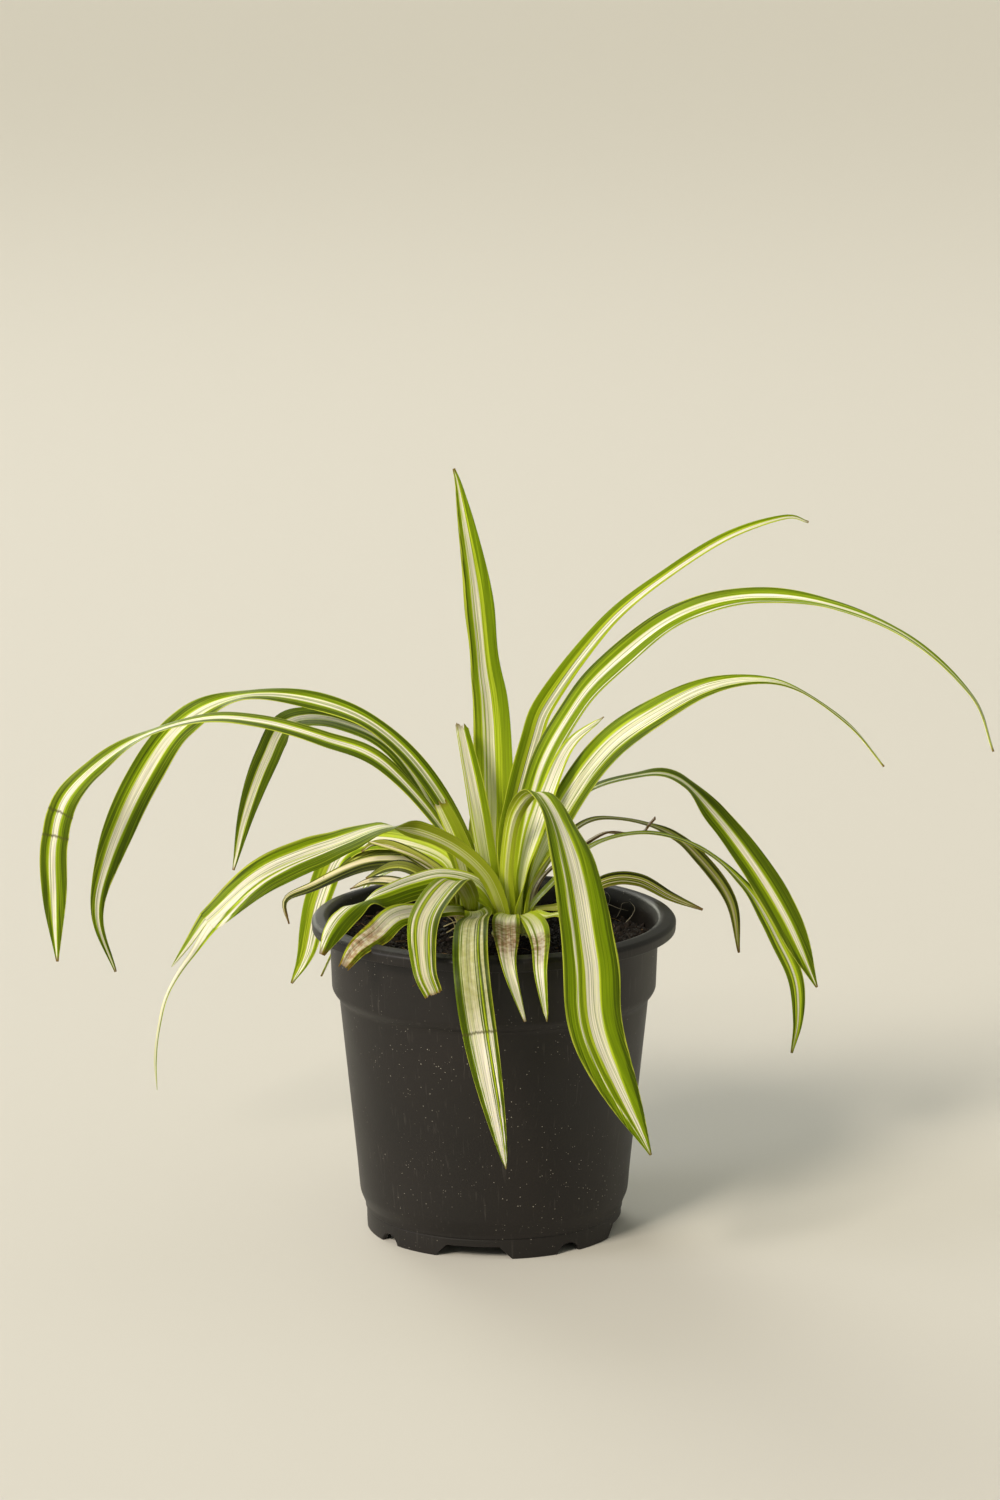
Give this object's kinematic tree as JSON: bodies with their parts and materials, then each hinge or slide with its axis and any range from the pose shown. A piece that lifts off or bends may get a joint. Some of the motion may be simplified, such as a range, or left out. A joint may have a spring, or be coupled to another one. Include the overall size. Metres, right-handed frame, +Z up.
{
  "type": "potted spider plant",
  "caption": "Spider plant with arching cream-and-green striped leaves in a thin round black nursery pot of peat.",
  "frame": {"origin": "centre of the flat pad under the pot, on the pot's axis, where it stands", "axes": "+Z up along the pot's axis, +X to the picture's right along the leaves' widest spread, -Y towards the picture's camera"},
  "size_m": [0.3099, 0.184, 0.2521],
  "materials": {
    "pot_plastic": "matte",
    "peat": "matte",
    "rootstock": "satin",
    "leaf_fresh": "satin",
    "leaf_old": "satin",
    "leaf_dry": "matte"
  },
  "bodies": {
    "root": {"crown_left": "rootstock", "crown_main": "rootstock", "leaf_cluster_curled": "leaf_old", "leaf_cluster_dry": "leaf_dry", "leaf_cluster_hanging": "leaf_fresh", "leaf_cluster_spotted": "leaf_old", "leaf_front_broad": "leaf_fresh", "leaf_front_brown": "leaf_old", "leaf_front_creased": "leaf_old", "leaf_front_cut": "leaf_fresh", "leaf_front_narrow": "leaf_fresh", "leaf_front_stained": "leaf_old", "leaf_front_stub": "leaf_fresh", "leaf_front_twisted": "leaf_fresh", "leaf_left_back": "leaf_fresh", "leaf_left_far": "leaf_fresh", "leaf_left_high": "leaf_fresh", "leaf_left_split": "leaf_fresh", "leaf_left_stub": "leaf_fresh", "leaf_rear_1": "leaf_fresh", "leaf_rear_2": "leaf_fresh", "leaf_rear_3": "leaf_fresh", "leaf_rear_4": "leaf_fresh", "leaf_right_high": "leaf_fresh", "leaf_right_long": "leaf_fresh", "leaf_right_low": "leaf_fresh", "leaf_right_mid": "leaf_fresh", "leaf_right_rim": "leaf_old", "leaf_right_short": "leaf_fresh", "leaf_right_thin": "leaf_old", "leaf_right_twisted": "leaf_fresh", "leaf_right_withered": "leaf_dry", "leaf_tall": "leaf_fresh", "leaf_tall_stub": "leaf_old", "pot": "pot_plastic", "soil": "peat"}
  },
  "joints": []
}
